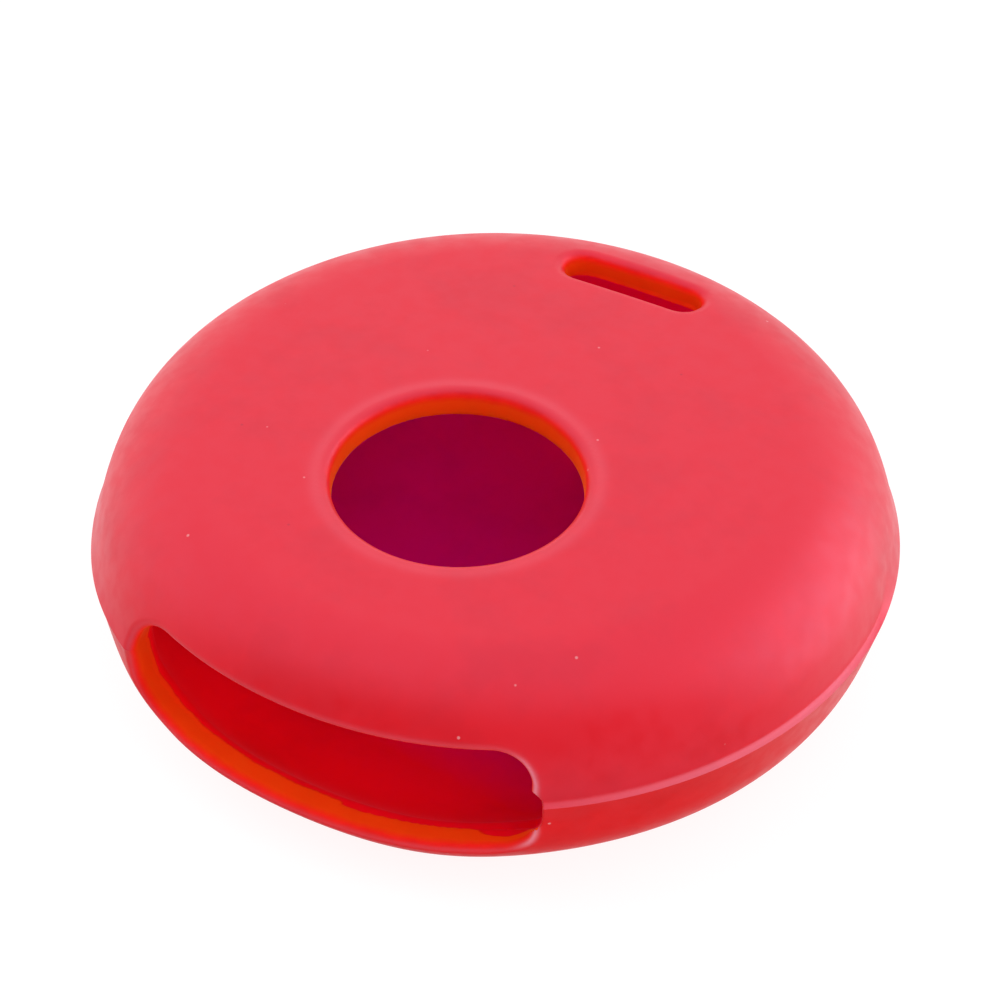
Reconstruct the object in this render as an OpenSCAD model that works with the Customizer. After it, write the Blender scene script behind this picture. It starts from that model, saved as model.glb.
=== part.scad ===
// Open-mouthed moulded silicone sleeve for a round disc, such as a key fob.
// Two half shells meet at a parting line round the rim. The mouth faces -Y and the keyring slot is at +Y.
// The origin is the centre of the flat that the sleeve rests on. All sizes are in millimetres.

/* [Body] */
// Diameter over the rim
outer_d = 48; // [46:0.5:52]
// Wall thickness
wall_t = 1.8; // [1.5:0.1:2]
// Radius of the broad dome over each face
dome_r = 180; // [160:5:240]
// Width of the flare that carries the upper shell's side out to the rim
flare_w = 0.35; // [0.2:0.05:0.5]
// Height of the flare
flare_h = 0.5; // [0.4:0.1:0.8]
// Diameter of the flat under the lower shell
rest_d = 16; // [12:1:20]

/* [Upper shell] */
// Height from the parting plane to the top of the dome
upper_h = 8.5; // [8.3:0.1:8.8]
// Radius of the shoulder between dome and side
upper_shoulder_r = 6.8; // [6.5:0.1:7.2]
// Lean of the side, in degrees
upper_lean = 7; // [5:1:10]

/* [Lower shell] */
// Height from the parting plane to the top of the dome
lower_h = 9; // [8.8:0.1:9.2]
// Radius of the shoulder between dome and side
lower_shoulder_r = 8; // [7.6:0.1:8.2]
// Lean of the side, in degrees
lower_lean = 18; // [16:1:20]

/* [Mouth] */
// Width of the mouth
mouth_w = 26.2; // [24:0.1:28]
// Height of the mouth at its middle
mouth_h = 7.6; // [6.8:0.1:7.8]
// How far the mouth's centre line lies below the parting plane
mouth_drop = 0.4; // [0:0.1:0.6]
// Radius of the mouth's corners
mouth_corner_r = 2.3; // [1.4:0.1:2.5]
// How much lower the mouth is at its corners than at its middle, above and below
lip_arch = 0.3; // [0.1:0.05:0.4]
// Height of the relief notch at each end of the mouth
notch_h = 2.3; // [1.9:0.1:2.6]
// Radius of the relief notch's corners
notch_corner_r = 0.9; // [0.6:0.05:0.95]
// Depth of the relief notch past the end of the mouth
notch_depth = 0.75; // [0.4:0.05:0.8]

/* [Window] */
// Diameter of the round window in the upper shell
window_d = 14.6; // [12:0.2:16]
// How far the window's axis lies from the middle, towards the mouth
window_offset = 4.8; // [4:0.1:5.5]
// Radius that rounds the window's outer edge
window_edge_r = 0.6; // [0.4:0.05:0.8]

/* [Keyring slot] */
// Overall length of the keyring slot
slot_l = 8.8; // [7:0.2:10]
// Width of the keyring slot
slot_w = 2.4; // [2:0.1:3]
// Distance of the slot's centre line from the middle
slot_offset = 16.8; // [15.8:0.1:16.9]

/* [Hidden] */
$fn = 180;
silicone_red = [0.9, 0.27, 0.34];
lower_rim_r = outer_d / 2;
// Radius at the parting plane of the upper shell's side, without the flare
upper_side_r = lower_rim_r - flare_w;
// Inside radius at the parting plane, where the hollows of the two shells meet
hollow_r = upper_side_r - wall_t / cos(upper_lean);
// The flat cuts this much off the bottom of the lower dome
rest_cut = dome_r - sqrt(dome_r ^ 2 - (rest_d / 2) ^ 2);
parting_z = lower_h - rest_cut;
// A length that is sure to reach past every wall
clear_l = outer_d;
// Steps along each arched lip
lip_steps = 8;
// Steps along the dome's arc, the shoulder's arc and a rounded edge's arc
dome_steps = 6;
shoulder_steps = 12;
edge_steps = 6;

// Points along an arc, from one angle to another
function arc(centre, r, from, to, steps) =
    [for (i = [0:steps]) let (a = from + (to - from) * i / steps) centre + r * [cos(a), sin(a)]];

// Area under a shell's face in side view: an arc over the dome, an arc round the shoulder and a straight
// leaning side that reaches rim_r at the parting plane, all taken inwards by inset. The side's foot can flare.
module half_section(height, shoulder_r, lean, rim_r, inset, foot_w = 0) {
    dome_c = [0, height - dome_r];
    side_normal = [cos(lean), sin(lean)];
    side_along = [-sin(lean), cos(lean)];
    // The shoulder's centre is shoulder_r inside the side, and dome_r - shoulder_r from the dome's centre
    start = [rim_r, 0] - shoulder_r * side_normal;
    gap = start - dome_c;
    reach = sqrt((gap * side_along) ^ 2 - gap * gap + (dome_r - shoulder_r) ^ 2) - gap * side_along;
    shoulder_c = start + reach * side_along;
    join_angle = atan2(shoulder_c.y - dome_c.y, shoulder_c.x);
    foot_r = rim_r - inset / cos(lean);
    foot = foot_w > 0
        ? [for (i = [0:edge_steps]) let (t = i / edge_steps)
            [foot_r - flare_h * t * tan(lean) + foot_w * (1 - t) ^ 2, flare_h * t]]
        : [[foot_r, 0]];
    polygon(concat(
        [[0, 0]],
        foot,
        arc(shoulder_c, shoulder_r - inset, lean, join_angle, shoulder_steps),
        [for (point = arc(dome_c, dome_r - inset, join_angle, 90, dome_steps)) if (point.x < shoulder_c.x) point]
    ));
}

// One half shell, open at the parting plane, with its dome up
module half_shell(height, shoulder_r, lean, rim_r, foot_w) {
    rotate_extrude() difference() {
        half_section(height, shoulder_r, lean, rim_r, 0, foot_w);
        half_section(height, shoulder_r, lean, hollow_r + wall_t / cos(lean), wall_t);
    }
}

// The mouth's outline as seen from the front: round corners, joined by a slightly arched lip
corner_x = mouth_w / 2 - mouth_corner_r;
corner_z = mouth_h / 2 - lip_arch - mouth_corner_r;
right_corner = arc([corner_x, corner_z], mouth_corner_r, 0, 90, edge_steps);
upper_lip = [for (i = [1:lip_steps - 1]) let (x = 1 - 2 * i / lip_steps)
    [corner_x * x, mouth_h / 2 - lip_arch * x ^ 2]];
left_corner = arc([-corner_x, corner_z], mouth_corner_r, 90, 180, edge_steps);
upper_outline = concat(right_corner, upper_lip, left_corner);
lower_outline = [for (point = upper_outline) [-point.x, -point.y]];

// The relief notches' outline, a rounded bar that reaches past both ends of the mouth
notch_x = mouth_w / 2 + notch_depth - notch_corner_r;
notch_z = notch_h / 2 - notch_corner_r;
notch_outline = concat(
    arc([notch_x, notch_z], notch_corner_r, 0, 90, edge_steps),
    arc([-notch_x, notch_z], notch_corner_r, 90, 180, edge_steps),
    arc([-notch_x, -notch_z], notch_corner_r, 180, 270, edge_steps),
    arc([notch_x, -notch_z], notch_corner_r, 270, 360, edge_steps)
);

// The mouth, cut back from the rim to the middle of the sleeve, with a relief notch at each end
module mouth_cut() {
    rotate([90, 0, 0]) linear_extrude(height = clear_l) translate([0, -mouth_drop]) union() {
        polygon(concat(upper_outline, lower_outline));
        polygon(notch_outline);
    }
}

// The window, a straight bore with a rounded outer edge
module window_cut() {
    bore_r = window_d / 2;
    edge_z = upper_h - window_offset ^ 2 / (2 * dome_r) - window_edge_r;
    translate([0, -window_offset, 0]) rotate_extrude() polygon(concat(
        [[0, 0], [bore_r, 0]],
        arc([bore_r + window_edge_r, edge_z], window_edge_r, 180, 90, edge_steps),
        [[bore_r + window_edge_r, upper_h + wall_t], [0, upper_h + wall_t]]
    ));
}

// The keyring slot, with round ends, straight through both shells
module slot_cut() {
    end_x = (slot_l - slot_w) / 2;
    translate([0, slot_offset, -clear_l / 2]) linear_extrude(height = clear_l) union() {
        square([2 * end_x, slot_w], center = true);
        for (side = [-1, 1]) translate([side * end_x, 0]) circle(d = slot_w);
    }
}

// Upper half shell, with the window
module upper_shell() {
    color(silicone_red) translate([0, 0, parting_z]) difference() {
        half_shell(upper_h, upper_shoulder_r, upper_lean, upper_side_r, flare_w);
        mouth_cut();
        window_cut();
        slot_cut();
    }
}

// Lower half shell, with the flat that the sleeve rests on
module lower_shell() {
    color(silicone_red) translate([0, 0, parting_z]) difference() {
        mirror([0, 0, 1]) half_shell(lower_h, lower_shoulder_r, lower_lean, lower_rim_r, 0);
        mouth_cut();
        slot_cut();
        translate([-clear_l / 2, -clear_l / 2, -parting_z - clear_l]) cube(clear_l);
    }
}

upper_shell();
lower_shell();
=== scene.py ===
"""Soft silicone sleeve for a round key fob: two half shells that meet at a parting line round the rim.

Each half shell is a distance field, in millimetres from the middle of the parting plane, turned into a mesh.
The field is negative inside the silicone. The mouth faces -Y and the keyring slot is at +Y.
"""
import math

import bmesh
import bpy
import numpy as np
import openvdb
from mathutils import Matrix, Quaternion, Vector


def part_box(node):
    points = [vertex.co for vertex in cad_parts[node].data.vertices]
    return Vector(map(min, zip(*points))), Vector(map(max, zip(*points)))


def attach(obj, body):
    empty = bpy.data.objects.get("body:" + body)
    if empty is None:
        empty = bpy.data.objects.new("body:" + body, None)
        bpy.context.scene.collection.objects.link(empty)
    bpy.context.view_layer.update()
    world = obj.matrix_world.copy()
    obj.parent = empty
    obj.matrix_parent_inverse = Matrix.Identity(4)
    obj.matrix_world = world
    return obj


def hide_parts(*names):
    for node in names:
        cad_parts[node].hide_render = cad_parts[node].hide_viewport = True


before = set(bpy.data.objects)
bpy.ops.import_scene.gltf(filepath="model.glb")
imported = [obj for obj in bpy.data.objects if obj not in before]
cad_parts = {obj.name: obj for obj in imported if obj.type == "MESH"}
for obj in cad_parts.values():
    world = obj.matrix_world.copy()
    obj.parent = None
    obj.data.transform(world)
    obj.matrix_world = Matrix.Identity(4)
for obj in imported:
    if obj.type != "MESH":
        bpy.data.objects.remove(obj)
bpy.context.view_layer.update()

# ---------------------------------------------------------------- sizes, in millimetres
MM = 0.001
RIM_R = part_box("lower_shell")[1].x / MM
PARTING_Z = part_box("upper_shell")[0].z / MM
WALL_T = 1.8
DOME_R = 180.0
REST_R = 8.0
# The flat under the lower dome cuts this much off it
REST_CUT = DOME_R - math.sqrt(DOME_R ** 2 - REST_R ** 2)
# The flare that carries the upper shell's side out to the rim. It's low, and shows as a line, from
# the front round to the right; elsewhere it's high and soft. The range is in degrees round from the front.
FLARE_W = 0.3
FLARE_LOW_H = 0.33
FLARE_HIGH_H = 3.2
FLARE_LOW_RANGE = (10, 100)
FLARE_CHANGE = 15
# Each shell's height, shoulder radius, lean of the side and radius at the parting plane
UPPER = (8.5, 6.8, math.radians(7), RIM_R - FLARE_W)
LOWER = (PARTING_Z + REST_CUT, 8.0, math.radians(18), RIM_R)
# Inside radius at the parting plane, and the half height of the soft crease there
HOLLOW_R = UPPER[3] - WALL_T / math.cos(UPPER[2])
CREASE_H = 0.5

# The mouth's ends, then the corner radius and the lip's arch on the left and on the right
MOUTH_LEFT_X = -13.2
MOUTH_RIGHT_X = 13.1
MOUTH_H = 7.6
MOUTH_DROP = 0.4
LEFT_CORNER_R = 2.9
RIGHT_CORNER_R = 2.2
LEFT_ARCH = 0.5
RIGHT_ARCH = 0.1
# The mouth's cut stops this far in front of the middle, inside the cavity
MOUTH_END_Y = -8.0
# The relief notch at the right end of the mouth. Its end is turned to run towards the middle, and is
# at the given x where y is NOTCH_Y. Its lower face falls away inwards by this slope.
NOTCH_END_X = 14.1
NOTCH_Y = -19.3
NOTCH_TURN = math.radians(30)
NOTCH_FALL = 0.9
NOTCH_H = 2.3
NOTCH_CORNER_R = 0.8
# How far the lower lip has splayed out on each side: the middle and half width of the place, in degrees
# round from the front, and the distance
LIP_SPLAY = [(-27.0, 20.0, 0.52), (20.0, 18.0, 0.42)]
SPLAY_H = 3.0
# How far the rim has spread at the mouth's left end: the middle and half width of the place in degrees, then
# the distance and the half height
RIM_SPREAD = (-48.0, 14.0, 0.17, 4.0)
WINDOW_X = 0.1
WINDOW_Y = -4.8
# The window has its radius at this height, and widens by the taper for each millimetre up
WINDOW_R = 7.27
WINDOW_LOW_H = 6.5
WINDOW_TAPER = 0.1
# The window is this many times wider than it is long
WINDOW_STRETCH = 1.02
SLOT_X = -0.15
SLOT_Y = 16.8
SLOT_TURN = math.radians(3)
SLOT_L = 8.9
SLOT_W = 2.4

# Radii that round the openings' edges, outside and inside
LIP_EDGE_R = 0.85
WINDOW_EDGE_R = 0.6
SLOT_EDGE_R = 0.7
INNER_EDGE_R = 0.3
NOTCH_EDGE_R = 0.1

# Spacing of the grid that the shells are meshed on: wide apart, but closer near the places listed as
# middle, half width and spacing. Beyond each place it widens over the blend's length.
COARSE = 0.4
BLEND_L = 2.0
WINDOW_TOP_R = 7.4
# The mouth's ends and the window's sides
FINE_X = [(-13.3, 0.9, 0.15), (13.5, 0.9, 0.09), (-WINDOW_TOP_R, 0.7, 0.2), (WINDOW_TOP_R, 0.7, 0.2)]
# The mouth, the window's front and back, and the slot
FINE_Y = [
    (-20.5, 3.5, 0.16), (WINDOW_Y - WINDOW_TOP_R, 0.7, 0.2), (WINDOW_Y + WINDOW_TOP_R, 0.7, 0.2),
    (SLOT_Y, 2.0, 0.16)]
# The relief notch, the flare's line, the mouth's upper and lower lip, and the window's edge
FINE_H = [(-0.4, 1.4, 0.115), (0.2, 0.45, 0.08), (3.9, 0.6, 0.14), (-4.7, 0.6, 0.14), (8.0, 0.5, 0.16)]
# How far the grid reaches past the object, and how far past the plane where the shell is cut
GRID_MARGIN = 1.0
CUT_MARGIN = 1.2

# Where the inside's painted crimson shade dips into the lower lip: the middle, the half width and how deep,
# as a share of the wall
PAINTED_SHADE_DIP = (11.4, 2.2, 0.8)
# Distance of the painted highlight bands from the mouth's and the window's edge, and their width
HIGHLIGHT_BAND_MOUTH = (0.4, 0.2)
HIGHLIGHT_BAND_WINDOW = (0.8, 0.4)
# How pale these painted highlights are, and the painted highlight on the rim's line. With two numbers, the
# second is how much paler it gets to the right.
PALE_MOUTH = (0.1, 0.6)
PALE_WINDOW = 0.1
PALE_RIM = (0.05, 0.27)
# How bright the painted light inside is at the mouth's left end and round the slot: a glow standing in for
# light through the wall
GLOW_LEFT = 0.07
GLOW_SLOT = 0.2
# Half height of the zone round the parting plane in which light spreads less
SEAM_H = 1.2


# ---------------------------------------------------------------- the distance fields
def round_cut(a, b, radius):
    """The intersection of two fields, with their shared edge rounded."""
    reach = np.hypot(np.maximum(a + radius, 0), np.maximum(b + radius, 0))
    return np.minimum(-radius, np.maximum(a, b)) + reach


def half_section(r, h, shape, inset=0.0):
    """Half of the side view: an arc over the dome, an arc round the shoulder and a straight leaning side."""
    height, shoulder_r, lean, rim_r = shape
    normal = np.array([math.cos(lean), math.sin(lean)])
    along = np.array([-math.sin(lean), math.cos(lean)])
    dome = np.array([0, height - DOME_R])
    start = np.array([rim_r, 0]) - shoulder_r * normal
    gap = start - dome
    reach = math.sqrt((gap @ along) ** 2 - gap @ gap + (DOME_R - shoulder_r) ** 2) - gap @ along
    centre = start + reach * along
    join_angle = math.atan2(centre[1] - dome[1], centre[0])
    angle = np.arctan2(h - centre[1], r - centre[0])
    on_dome = np.hypot(r, h - dome[1]) - (DOME_R - inset)
    on_shoulder = np.hypot(r - centre[0], h - centre[1]) - (shoulder_r - inset)
    on_side = (r - rim_r) * normal[0] + h * normal[1] + inset
    return np.where(angle > join_angle, on_dome, np.where(angle < lean, on_side, on_shoulder))


def rounded_box(x, y, half_w, half_h, corner_r):
    """A flat rounded rectangle."""
    qx = np.abs(x) - (half_w - corner_r)
    qy = np.abs(y) - (half_h - corner_r)
    return np.hypot(np.maximum(qx, 0), np.maximum(qy, 0)) + np.minimum(np.maximum(qx, qy), 0) - corner_r


def mouth(x, y, h):
    """The mouth: a rounded rectangle with slightly arched lips, cut in from the front."""
    middle = (MOUTH_LEFT_X + MOUTH_RIGHT_X) / 2
    half_w = (MOUTH_RIGHT_X - MOUTH_LEFT_X) / 2
    corner_r = np.where(x < middle, LEFT_CORNER_R, RIGHT_CORNER_R)
    arch = np.where(x < middle, LEFT_ARCH, RIGHT_ARCH) * ((x - middle) / half_w) ** 2
    outline = rounded_box(x - middle, np.abs(h + MOUTH_DROP) + arch, half_w, MOUTH_H / 2, corner_r)
    return np.maximum(outline, y - MOUTH_END_Y)


def notch(x, y, h):
    """The relief notch at the right end of the mouth, across the parting plane."""
    fall = NOTCH_FALL / 2 * np.clip(RIM_R - np.hypot(x, y), 0, 3)
    across = x + math.tan(NOTCH_TURN) * (y - NOTCH_Y) - NOTCH_END_X / 2
    outline = rounded_box(across, h + MOUTH_DROP + fall, NOTCH_END_X / 2, NOTCH_H / 2 + fall, NOTCH_CORNER_R)
    return np.maximum(outline, y - MOUTH_END_Y)


def window(x, y, h):
    """The window, a round bore that widens upwards."""
    r = np.hypot((x - WINDOW_X) / WINDOW_STRETCH, y - WINDOW_Y)
    return r - WINDOW_R - WINDOW_TAPER * (h - WINDOW_LOW_H)


def slot(x, y):
    """The keyring slot, with round ends, turned a little."""
    dx, dy = x - SLOT_X, y - SLOT_Y
    along = dx * math.cos(SLOT_TURN) + dy * math.sin(SLOT_TURN)
    across = dy * math.cos(SLOT_TURN) - dx * math.sin(SLOT_TURN)
    return np.hypot(np.maximum(np.abs(along) - (SLOT_L - SLOT_W) / 2, 0), across) - SLOT_W / 2


def splay(x, y, h):
    """How far the lower lip stands out past its round shape."""
    turn = np.degrees(np.arctan2(x, -y))
    amount = sum(peak * np.exp(-((turn - middle) / width) ** 2) for middle, width, peak in LIP_SPLAY)
    down = np.clip(-h / SPLAY_H, 0, 1)
    return amount * down ** 2 * (3 - 2 * down)


def rim_spread(x, y, h):
    """How far the rim stands out past its round shape, at the mouth's left end."""
    middle, width, peak, half_h = RIM_SPREAD
    turn = np.degrees(np.arctan2(x, -y))
    return peak * np.exp(-((turn - middle) / width) ** 2 - (h / half_h) ** 2)


def hollow(x, y, h):
    """The hollow inside both shells, with a soft crease at the parting plane."""
    r = np.hypot(x, y) - splay(x, y, h)
    total = 0
    for shift in (-CREASE_H, 0, CREASE_H):
        place = h + shift
        sides = []
        for height, shoulder_r, lean, _ in (UPPER, LOWER):
            shape = (height, shoulder_r, lean, HOLLOW_R + WALL_T / math.cos(lean))
            sides.append(half_section(r, np.abs(place), shape, WALL_T))
        total = total + np.where(place > 0, *sides) / 3
    return total


def upper_face(x, y, h):
    """The upper shell's outer face, with the flare at its rim."""
    turn = np.degrees(np.arctan2(x, -y))
    outside = np.maximum(FLARE_LOW_RANGE[0] - turn, turn - FLARE_LOW_RANGE[1])
    soft = np.clip(outside / FLARE_CHANGE, 0, 1)
    flare_h = FLARE_LOW_H + (FLARE_HIGH_H - FLARE_LOW_H) * soft ** 2 * (3 - 2 * soft)
    flare = FLARE_W * np.clip(1 - h / flare_h, 0, 1.5) ** 2
    return half_section(np.hypot(x, y) - flare - rim_spread(x, y, h), h, UPPER)


def lower_dome(x, y, h):
    """The lower shell's outer face, as if the flat weren't cut."""
    return half_section(np.hypot(x, y) - splay(x, y, h) - rim_spread(x, y, h), -h, LOWER)


def lower_face(x, y, h):
    return np.maximum(lower_dome(x, y, h), -h - PARTING_Z)


def shell(x, y, h, face, cut_window):
    """One half shell's field: its outer face less the hollow and the openings."""
    inside = hollow(x, y, h)
    outer = round_cut(face, -mouth(x, y, h), LIP_EDGE_R)
    outer = round_cut(outer, -slot(x, y), SLOT_EDGE_R)
    inner = round_cut(-inside, -mouth(x, y, h), INNER_EDGE_R)
    inner = round_cut(inner, -slot(x, y), INNER_EDGE_R)
    if cut_window:
        outer = round_cut(outer, -window(x, y, h), WINDOW_EDGE_R)
        inner = round_cut(inner, -window(x, y, h), INNER_EDGE_R)
    return round_cut(np.maximum(outer, inner), -notch(x, y, h), NOTCH_EDGE_R)


def upper_field(x, y, h):
    return shell(x, y, h, upper_face(x, y, h), True)


def lower_field(x, y, h):
    return shell(x, y, h, lower_face(x, y, h), False)


# ---------------------------------------------------------------- field to mesh
def grid_lines(low, high, fine_places):
    """Places of the grid's lines along one axis, closer together near the fine places."""
    lines = [low]
    while lines[-1] < high:
        spacing = COARSE
        for middle, half_width, fine in fine_places:
            beyond = max(abs(lines[-1] - middle) - half_width, 0) / BLEND_L
            spacing = min(spacing, fine + (COARSE - fine) * beyond)
        lines.append(lines[-1] + spacing)
    return np.array(lines)


def gradient(field, points):
    """The field's slope at each point, by central differences."""
    step = 0.01
    slope = np.empty_like(points)
    for axis in range(3):
        ahead, behind = points.copy(), points.copy()
        ahead[:, axis] += step
        behind[:, axis] -= step
        slope[:, axis] = (field(*ahead.T) - field(*behind.T)) / (2 * step)
    return slope


def onto_surface(field, points, rounds, level=False):
    """Moves points along the slope until they lie on the surface, without a change of height if level."""
    for _ in range(rounds):
        slope = gradient(field, points)
        if level:
            slope[:, 2] = 0
        length = np.maximum((slope ** 2).sum(1), 0.05)
        move = slope * (field(*points.T) / length)[:, None]
        points = points - np.clip(move, -COARSE, COARSE)
    return points


def even_out(field, points, quads, rounds):
    """Spreads the vertices evenly over the surface and keeps them on it."""
    edges = np.vstack([quads[:, [i, (i + 1) % 4]] for i in range(4)])
    count = np.bincount(edges.ravel(), minlength=len(points))[:, None]
    for _ in range(rounds):
        total = np.zeros_like(points)
        for axis in range(3):
            total[:, axis] += np.bincount(edges[:, 0], points[edges[:, 1], axis], len(points))
            total[:, axis] += np.bincount(edges[:, 1], points[edges[:, 0], axis], len(points))
        points = onto_surface(field, 0.5 * points + 0.5 * total / count, 1)
    return onto_surface(field, points, 2)


def field_mesh(field, low_h, high_h):
    """Points in millimetres and quads of the surface between two heights."""
    reach = RIM_R + GRID_MARGIN
    spans = ((-reach, reach, FINE_X), (-reach, reach, FINE_Y), (low_h, high_h, FINE_H))
    axes = [grid_lines(*span) for span in spans]
    x, y, h = np.meshgrid(*axes, indexing="ij")
    limit = 3 * COARSE
    grid = openvdb.FloatGrid(limit)
    grid.copyFromArray(np.clip(field(x, y, h), -limit, limit).astype(np.float32))
    places, quads = grid.convertToQuads(0.0)
    points = np.column_stack([np.interp(places[:, i], np.arange(len(axes[i])), axes[i]) for i in range(3)])
    points = onto_surface(field, points, 3)
    return even_out(field, points, quads, 3), quads


def keep_joined(bm, first):
    """Drops everything that isn't joined to the first vertex."""
    joined = {first}
    waiting = [first]
    while waiting:
        vert = waiting.pop()
        others = {edge.other_vert(vert) for edge in vert.link_edges} - joined
        joined |= others
        waiting += others
    bmesh.ops.delete(bm, geom=[vert for vert in bm.verts if vert not in joined], context="VERTS")


def cut_flat(bm, field, height, keep_above):
    """Cuts the mesh at a height, drops one side and closes the cut along the surface's true outline."""
    bmesh.ops.bisect_plane(
        bm, geom=bm.verts[:] + bm.edges[:] + bm.faces[:], dist=1e-5,
        plane_co=(0, 0, height), plane_no=(0, 0, 1), clear_inner=keep_above, clear_outer=not keep_above)
    # A quad that folds across the plane leaves a crumb, so only what joins the farthest vertex is kept
    keep_joined(bm, max(bm.verts, key=lambda vert: abs(vert.co.z - height)))
    outline = [vert for vert in bm.verts if vert.is_boundary]
    places = onto_surface(field, np.array([vert.co for vert in outline]), 4, level=True)
    for vert, place in zip(outline, places):
        vert.co = place
    made = bmesh.ops.edgeloop_fill(bm, edges=[edge for edge in bm.edges if edge.is_boundary])["faces"]
    bmesh.ops.triangulate(bm, faces=made)


def band(distance, middle, width):
    """One at the middle distance, falling to nought on both sides."""
    return np.exp(-((distance - middle) / width) ** 2)


def rise(value, start, length):
    """Nought up to the start, one from the end of the length on, and straight in between."""
    return np.clip((value - start) / length, 0, 1)


def wall_share(x, y, h):
    """How far through the wall a place is: nought on the outer face, one on the inner."""
    wall = -np.where(h >= 0, upper_face(x, y, h), lower_dome(x, y, h)) / WALL_T
    # The inside's painted crimson shade dips into the lower lip near its right end, and lines the relief
    # notch as painted shade
    middle, half_width, depth = PAINTED_SHADE_DIP
    dip = depth * np.clip(1 - np.abs(x - middle) / half_width, 0, 1) * (h < -2) * (y < -12)
    wall = wall + dip * rise(wall, 0.35, 0.3)
    in_notch = (np.abs(notch(x, y, h)) < 0.05) & (mouth(x, y, h) > 0.05)
    return np.where(in_notch & (wall > 0.08), 1, wall)


def add_attributes(mesh):
    """Stores what the material is painted from, for each vertex."""
    x, y, h = read(mesh.vertices, "co", 3).T
    wall = wall_share(x, y, h)
    # Neither the back wall's warmer colour, painted light from the slot, nor the slot's painted glow reaches
    # the floor seen through the window
    back = rise(h, -3, 2)
    # Painted highlights along the mouth's and the window's edges, strongest at the mouth's right end
    mouth_pale = (PALE_MOUTH[0] + PALE_MOUTH[1] * rise(x, 11.5, 1.5) ** 2) * band(mouth(x, y, h), *HIGHLIGHT_BAND_MOUTH)
    window_pale = PALE_WINDOW * band(window(x, y, h), *HIGHLIGHT_BAND_WINDOW) * (h > 0)
    # Painted highlight along the rim's line, paler to the right
    rim_pale = PALE_RIM[0] + PALE_RIM[1] * rise(x, 13, 8) * rise(-y, -5, 6)
    # Painted light inside at the mouth's left end and round the slot
    glow = GLOW_LEFT * rise(-x, 5, 5) * (y < 0) + GLOW_SLOT * rise(y, 13, 4) * back
    values = {
        "wall": wall,
        # Painted shade: how deep inside the sleeve it looks, more to the right and to the back, but less at
        # the back wall, which painted light from the slot warms
        "deep": 0.2 * (x + 13) / 26 + 0.8 * rise(y, -18, 16) - 0.3 * rise(y, 12, 3) * back,
        # Painted highlights: how pale the edges of the mouth and the window are, and the rim's line
        "pale": np.maximum(mouth_pale, window_pale),
        "rim": rim_pale * (x > 10),
        # How near the parting plane it is
        "seam": band(h, 0, SEAM_H),
        # Painted light: how much light comes in through the wall, shown as a glow
        "glow": glow * (wall > 0.8),
    }
    for name, value in values.items():
        attribute = mesh.attributes.new(name, "FLOAT", "POINT")
        attribute.data.foreach_set("value", np.clip(value, 0, 1).astype(np.float32))


def read(items, name, width, kind=float):
    """One value or vector of every item in a mesh's list, as rows of an array."""
    values = np.empty(len(items) * width, dtype=kind)
    items.foreach_get(name, values)
    return values.reshape(-1, width)


def set_normals(mesh, field, cut_h):
    """Takes the shading normals from the field's slope, except on the flat cut."""
    points = read(mesh.vertices, "co", 3)
    slope = gradient(field, points)
    slope /= np.maximum(np.linalg.norm(slope, axis=1, keepdims=True), 1e-6)
    corners = read(mesh.loops, "vertex_index", 1, np.int32)[:, 0]
    sizes = read(mesh.polygons, "loop_total", 1, np.int32)[:, 0]
    face_normals = read(mesh.polygons, "normal", 3)
    heights = read(mesh.polygons, "center", 3)[:, 2]
    flat = (np.abs(heights - cut_h) < 1e-4) & (np.abs(face_normals[:, 2]) > 0.99)
    flat_normals = np.repeat(face_normals, sizes, axis=0)
    normals = np.where(np.repeat(flat, sizes)[:, None], flat_normals, slope[corners])
    mesh.normals_split_custom_set(normals.tolist())


def shell_object(name, field, low_h, high_h, cut_h, keep_above):
    """The finished mesh of one half shell, in metres."""
    points, quads = field_mesh(field, low_h, high_h)
    mesh = bpy.data.meshes.new(name)
    mesh.from_pydata(points, [], quads[:, ::-1])
    bm = bmesh.new()
    bm.from_mesh(mesh)
    cut_flat(bm, field, cut_h, keep_above)
    bmesh.ops.recalc_face_normals(bm, faces=bm.faces)
    bm.to_mesh(mesh)
    bm.free()
    mesh.shade_smooth()
    set_normals(mesh, field, cut_h)
    add_attributes(mesh)
    mesh.transform(Matrix.Scale(MM, 4) @ Matrix.Translation((0, 0, PARTING_Z)))
    obj = bpy.data.objects.new(name, mesh)
    bpy.context.scene.collection.objects.link(obj)
    return obj


# ---------------------------------------------------------------- materials
# Linear colours of the outer faces, and how strongly they shine
UPPER_SKIN = ((0.77, 0.006, 0.01), 0.8)
LOWER_SKIN = ((0.78, 0.004, 0.003), 0.4)
# Linear colours of the inside, a painted crimson shade, by how deep it looks
INSIDE_COLOURS = [
    (0.0, (0.95, 0.003, 0.009)),
    (0.35, (0.83, 0.002, 0.02)),
    (0.6, (0.73, 0.002, 0.13)),
    (0.8, (0.75, 0.002, 0.31)),
]
# Linear colours of the cut edges, by how far through the wall they are: the orange is painted light standing
# in for light through the thin silicone
EDGE_COLOURS = [
    (0.22, (0.97, 0.018, 0.01)),
    (0.42, (0.96, 0.06, 0.004)),
    (0.88, (0.96, 0.06, 0.003)),
    (0.94, (0.8, 0.006, 0.006)),
]
# Colour of the painted highlights on the edges and the rim's line
HIGHLIGHT_COLOUR = (0.95, 0.32, 0.4)
# Colour of each kind of dust speck, then the specks' spacing, radius and share of the places that have one
DUST = [((0.9, 0.7, 0.72), (2.6, 0.12, 0.6)), ((0.35, 0.01, 0.02), (3.4, 0.12, 0.5))]
DUST_STRENGTH = 0.35
# Colour of the painted light inside
GLOW_COLOUR = (1.0, 0.0, 0.01)
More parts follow.
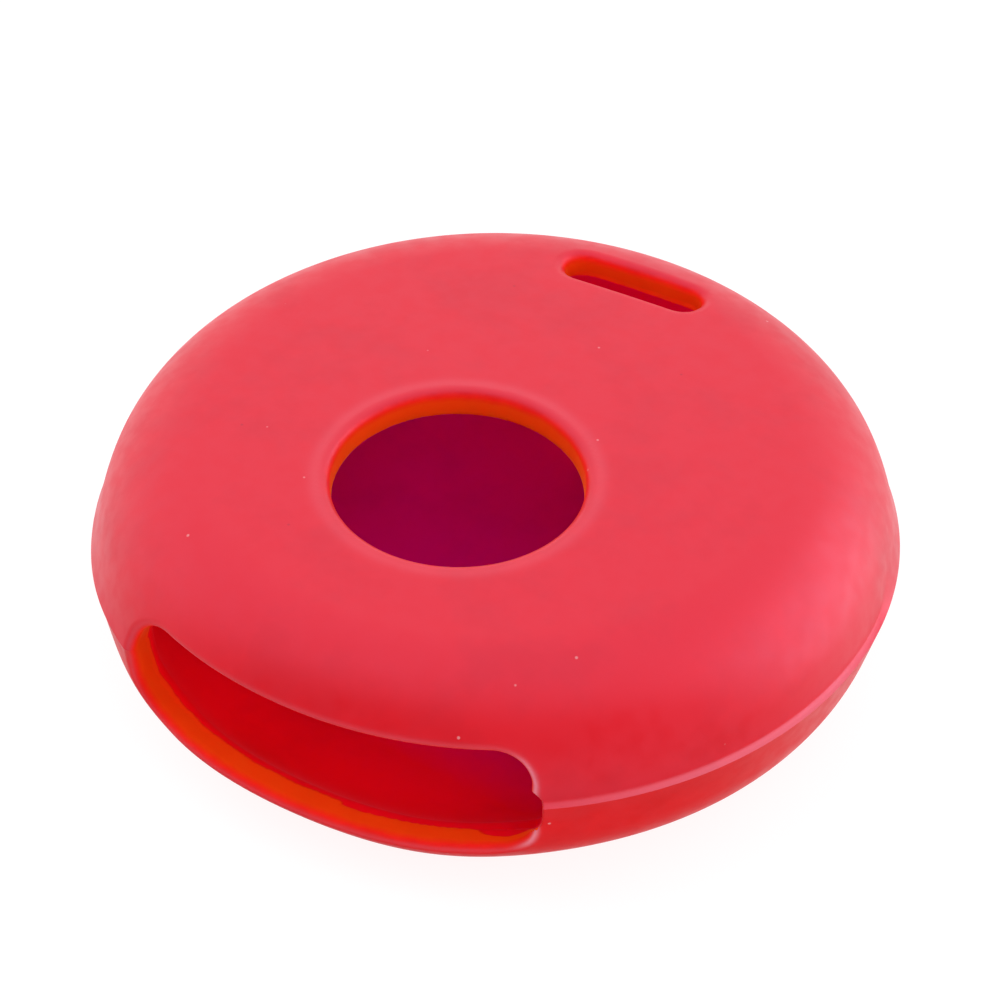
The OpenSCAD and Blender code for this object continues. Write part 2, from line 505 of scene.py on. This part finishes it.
# How far light spreads inside the silicone, and the share of that for red, green and blue
SPREAD_L = 2.2
SPREAD_SHARES = (1.0, 0.25, 0.12)


def per_mm(size):
    """A texture's scale for features of this size in millimetres, on coordinates in metres."""
    return 1 / (size * MM)


class Nodes:
    """A material's nodes, each made and linked in one call."""

    def __init__(self, material):
        material.use_nodes = True
        self.tree = material.node_tree
        self.shader = self.tree.nodes["Principled BSDF"]

    def put(self, node, name, value):
        socket = node.inputs[name]
        if isinstance(value, bpy.types.NodeSocket):
            self.tree.links.new(value, socket)
        else:
            socket.default_value = value

    def attribute(self, name):
        node = self.tree.nodes.new("ShaderNodeAttribute")
        node.attribute_name = name
        return node.outputs["Fac"]

    def math(self, operation, a, b=0.0):
        node = self.tree.nodes.new("ShaderNodeMath")
        node.operation = operation
        self.put(node, 0, a)
        self.put(node, 1, b)
        return node.outputs["Value"]

    def spread(self, value, low, high, to_low=0.0, to_high=1.0):
        """Maps a value from one range to another, smoothly."""
        node = self.tree.nodes.new("ShaderNodeMapRange")
        node.interpolation_type = "SMOOTHSTEP"
        for name, setting in (("Value", value), ("From Min", low), ("From Max", high),
                              ("To Min", to_low), ("To Max", to_high)):
            self.put(node, name, setting)
        return node.outputs["Result"]

    def noise(self, place, size, detail=2.0, roughness=0.5):
        node = self.tree.nodes.new("ShaderNodeTexNoise")
        self.put(node, "Vector", place)
        self.put(node, "Scale", per_mm(size))
        self.put(node, "Detail", detail)
        self.put(node, "Roughness", roughness)
        return node.outputs["Fac"]

    def ramp(self, value, stops):
        """A colour ramp with a list of places and linear colours."""
        node = self.tree.nodes.new("ShaderNodeValToRGB")
        elements = node.color_ramp.elements
        for index, (place, colour) in enumerate(stops):
            element = elements[index] if index < 2 else elements.new(place)
            element.position = place
            element.color = (*colour, 1)
        self.put(node, "Fac", value)
        return node.outputs["Color"]

    def mix(self, amount, a, b, blend="MIX"):
        node = self.tree.nodes.new("ShaderNodeMix")
        node.data_type = "RGBA"
        node.blend_type = blend
        for name, setting in (("Factor_Float", amount), ("A_Color", a), ("B_Color", b)):
            socket = next(item for item in node.inputs if item.identifier == name)
            if isinstance(setting, bpy.types.NodeSocket):
                self.tree.links.new(setting, socket)
            else:
                socket.default_value = setting
        return next(item for item in node.outputs if item.identifier == "Result_Color")

    def specks(self, place, spacing, radius, share):
        """One in the middle of scattered dust specks, nought elsewhere."""
        node = self.tree.nodes.new("ShaderNodeTexVoronoi")
        self.put(node, "Vector", place)
        self.put(node, "Scale", per_mm(spacing))
        near = self.spread(node.outputs["Distance"], 0.5 * radius / spacing, radius / spacing, 1.0, 0.0)
        parts = self.tree.nodes.new("ShaderNodeSeparateColor")
        self.put(parts, "Color", node.outputs["Color"])
        chosen = self.math("LESS_THAN", parts.outputs["Red"], share)
        return self.math("MULTIPLY", near, chosen)

    def bump(self, height, strength, distance, normal=None):
        node = self.tree.nodes.new("ShaderNodeBump")
        self.put(node, "Height", height)
        self.put(node, "Strength", strength)
        self.put(node, "Distance", distance * MM)
        if normal is not None:
            self.put(node, "Normal", normal)
        return node.outputs["Normal"]


def silicone(name, outer, shine):
    """Soft red silicone: pinker on its outer face, with painted highlights on the mouth's and window's edges
    and the rim's line; orange on the cut edges as painted light through the thin wall, crimson inside as
    painted shade, and a painted glow inside near the mouth's left end and the slot.
    """
    material = bpy.data.materials.new(name)
    nodes = Nodes(material)
    place = nodes.tree.nodes.new("ShaderNodeTexCoord").outputs["Object"]
    wall = nodes.attribute("wall")

    # Painted highlights: the edges of the mouth and the window and the rim's line are paler than the rest of
    # the outer face
    parts = nodes.tree.nodes.new("ShaderNodeSeparateXYZ")
    nodes.put(parts, "Vector", place)
    above = nodes.math("MULTIPLY_ADD", parts.outputs["Z"], 1 / MM)
    above.node.inputs[2].default_value = -PARTING_Z
    at_rim = nodes.math("GREATER_THAN", above, -0.01)
    at_rim = nodes.math("MULTIPLY", nodes.spread(above, 0.1, 0.4, 1.0, 0.0), at_rim)
    at_rim = nodes.math("MULTIPLY", at_rim, nodes.attribute("rim"))
    pale = nodes.math("MAXIMUM", nodes.attribute("pale"), at_rim)
    skin = nodes.mix(pale, (*outer, 1), (*HIGHLIGHT_COLOUR, 1))

    # From the outer face through the cut edge, painted orange as light through the thin wall, to the inside,
    # painted crimson as shade, with slightly ragged borders
    ragged = nodes.noise(place, 1.4, 4.0, 0.65)
    wall_place = nodes.math("ADD", wall, nodes.spread(ragged, 0.3, 0.7, -0.03, 0.03))
    edge = nodes.mix(nodes.spread(wall_place, 0.06, 0.24), skin, nodes.ramp(wall_place, EDGE_COLOURS))
    inner = nodes.ramp(nodes.attribute("deep"), INSIDE_COLOURS)
    colour = nodes.mix(nodes.spread(wall_place, 0.93, 0.965), edge, inner)

    # A faint mottle, and dust on the outer face
    mottle = nodes.spread(nodes.noise(place, 5.0, 4.0, 0.6), 0.25, 0.75, 0.93, 1.05)
    colour = nodes.mix(1.0, colour, nodes.ramp(mottle, [(0.0, (0, 0, 0)), (1.0, (1, 1, 1))]), "MULTIPLY")
    outside = nodes.spread(wall, 0.02, 0.3, 1.0, 0.0)
    for dust_colour, specks in DUST:
        dusty = nodes.math("MULTIPLY", nodes.specks(place, *specks), outside)
        colour = nodes.mix(nodes.math("MULTIPLY", dusty, DUST_STRENGTH), colour, (*dust_colour, 1))

    shader = nodes.shader
    nodes.put(shader, "Base Color", colour)
    nodes.put(shader, "Roughness", nodes.spread(nodes.noise(place, 1.2, 3.0), 0.3, 0.7, 0.38, 0.48))
    nodes.put(shader, "Specular IOR Level", nodes.math("MULTIPLY", outside, shine))
    nodes.put(shader, "Specular Tint", (1.0, 0.6, 1.0, 1))
    nodes.put(shader, "Sheen Weight", 0.04)
    nodes.put(shader, "Sheen Roughness", 0.3)
    nodes.put(shader, "Sheen Tint", (0.9, 0.8, 1.0, 1))
    # The two pieces can't pass light to each other, so it mustn't spread near the plane where they meet
    clear = nodes.spread(nodes.attribute("seam"), 0.0, 1.0, 1.0, 0.0)
    within = nodes.spread(wall, 0.3, 0.9, 0.3, 0.7)
    nodes.put(shader, "Subsurface Weight", nodes.math("MULTIPLY", clear, within))
    nodes.put(shader, "Subsurface Radius", SPREAD_SHARES)
    nodes.put(shader, "Subsurface Scale", SPREAD_L * MM)
    # Painted light: the inside glows where light would come in through the thin wall
    nodes.put(shader, "Emission Color", (*GLOW_COLOUR, 1))
    nodes.put(shader, "Emission Strength", nodes.attribute("glow"))
    # A coarse and a fine grain
    coarse = nodes.bump(nodes.noise(place, 1.6, 3.0), 0.25, 0.02)
    nodes.put(shader, "Normal", nodes.bump(nodes.noise(place, 0.16, 2.0), 0.3, 0.006, coarse))
    return material


# ---------------------------------------------------------------- the object
upper = shell_object("upper_shell_silicone", upper_field, -CUT_MARGIN, UPPER[0] + GRID_MARGIN, 0.0, True)
lower = shell_object("lower_shell_silicone", lower_field, -PARTING_Z - GRID_MARGIN, CUT_MARGIN, 0.0, False)
for piece, node, slot_name, skin in (
        (upper, "upper_shell", "upper_silicone", UPPER_SKIN),
        (lower, "lower_shell", "lower_silicone", LOWER_SKIN)):
    piece.data.materials.append(silicone(slot_name, *skin))
    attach(piece, "root")
    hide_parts(node)

# ---------------------------------------------------------------- floor, light and camera
CAMERA_AZIMUTH = math.radians(29.6)
CAMERA_ELEVATION = math.radians(41.1)
CAMERA_ROLL = math.radians(0.3)
CAMERA_DISTANCE = 20 * RIM_R * MM
SENSOR_W = 36.0
# Width of the picture at the middle of the parting plane, and where the picture's centre lies from there
FRAME_W = 59.5 * MM
AIM_RIGHT = 0.2 * MM
AIM_UP = 2.13 * MM
FLOOR_GREY = 0.2
FLOOR_GLOW = 0.88
# The direction in which the tent is brightest, and the cosines of the angles from there at which it is dim
# and bright
SKY_TOWARDS = (-0.25, 0.8, 0.55)
SKY_RANGE = (-0.4, 0.2)
SKY_DIM = 0.03
SKY_BRIGHT = 1.03
# Name, place and size in metres, power in watts, and whether it's mirrored
LIGHTS = [
    ("front_fill", (0.3, -0.42, 0.33), 0.4, 1.1, False),
    ("left_fill", (-0.55, 0.0, 0.12), 0.4, 0.9, False),
    ("right_fill", (0.5, 0.1, 0.12), 0.4, 0.35, False),
    ("side", (0.52, 0.45, 0.12), 0.7, 2.3, True),
]


def make_floor():
    """A floor that glows white and takes a faint shadow. It lights the sleeve but isn't mirrored in it."""
    bpy.ops.mesh.primitive_plane_add(size=4)
    floor = bpy.context.object
    floor.name = "floor"
    floor.visible_glossy = False
    material = bpy.data.materials.new("pale_floor")
    material.use_nodes = True
    shader = material.node_tree.nodes["Principled BSDF"]
    shader.inputs["Base Color"].default_value = (FLOOR_GREY, FLOOR_GREY, FLOOR_GREY, 1)
    shader.inputs["Roughness"].default_value = 0.9
    shader.inputs["Specular IOR Level"].default_value = 0
    shader.inputs["Emission Color"].default_value = (1, 1, 1, 1)
    shader.inputs["Emission Strength"].default_value = FLOOR_GLOW
    floor.data.materials.append(material)


def make_world():
    """A light tent: bright behind and above, dim in front and below."""
    world = bpy.data.worlds.new("studio")
    world.use_nodes = True
    nodes, links = world.node_tree.nodes, world.node_tree.links
    direction = nodes.new("ShaderNodeTexCoord").outputs["Generated"]
    towards = nodes.new("ShaderNodeVectorMath")
    towards.operation = "DOT_PRODUCT"
    links.new(direction, towards.inputs[0])
    towards.inputs[1].default_value = Vector(SKY_TOWARDS).normalized()
    spread = nodes.new("ShaderNodeMapRange")
    spread.interpolation_type = "SMOOTHSTEP"
    links.new(towards.outputs["Value"], spread.inputs["Value"])
    for name, setting in (("From Min", SKY_RANGE[0]), ("From Max", SKY_RANGE[1]), ("To Min", SKY_DIM),
                          ("To Max", SKY_BRIGHT)):
        spread.inputs[name].default_value = setting
    links.new(spread.outputs["Result"], nodes["Background"].inputs["Strength"])
    nodes["Background"].inputs["Color"].default_value = (1, 1, 1, 1)
    bpy.context.scene.world = world


def area_light(name, location, size, power, mirrored):
    """A soft light. If it's mirrored, it only shows as a reflection; if not, it only lights."""
    light = bpy.data.lights.new(name, "AREA")
    light.size = size
    light.energy = power
    lamp = bpy.data.objects.new(name, light)
    lamp.location = location
    lamp.rotation_euler = (-Vector(location)).to_track_quat("-Z", "Y").to_euler()
    lamp.visible_glossy = mirrored
    lamp.visible_diffuse = not mirrored
    bpy.context.scene.collection.objects.link(lamp)


def make_camera():
    """A long lens, from the front right and above."""
    back = Vector((math.sin(CAMERA_AZIMUTH) * math.cos(CAMERA_ELEVATION),
                   -math.cos(CAMERA_AZIMUTH) * math.cos(CAMERA_ELEVATION),
                   math.sin(CAMERA_ELEVATION)))
    right = Vector((math.cos(CAMERA_AZIMUTH), math.sin(CAMERA_AZIMUTH), 0))
    up = back.cross(right)
    middle = Vector((0, 0, PARTING_Z * MM))
    camera = bpy.data.cameras.new("camera")
    camera.sensor_width = SENSOR_W
    camera.lens = SENSOR_W * CAMERA_DISTANCE / FRAME_W
    camera.clip_start = 0.01
    eye = bpy.data.objects.new("camera", camera)
    eye.location = middle + back * CAMERA_DISTANCE
    target = middle + right * AIM_RIGHT + up * AIM_UP
    aim = (target - eye.location).to_track_quat("-Z", "Y")
    eye.rotation_euler = (aim @ Quaternion((0, 0, 1), CAMERA_ROLL)).to_euler()
    bpy.context.scene.collection.objects.link(eye)
    bpy.context.scene.camera = eye


make_floor()
make_world()
make_camera()
for light_values in LIGHTS:
    area_light(*light_values)
bpy.context.scene.view_settings.view_transform = "Standard"
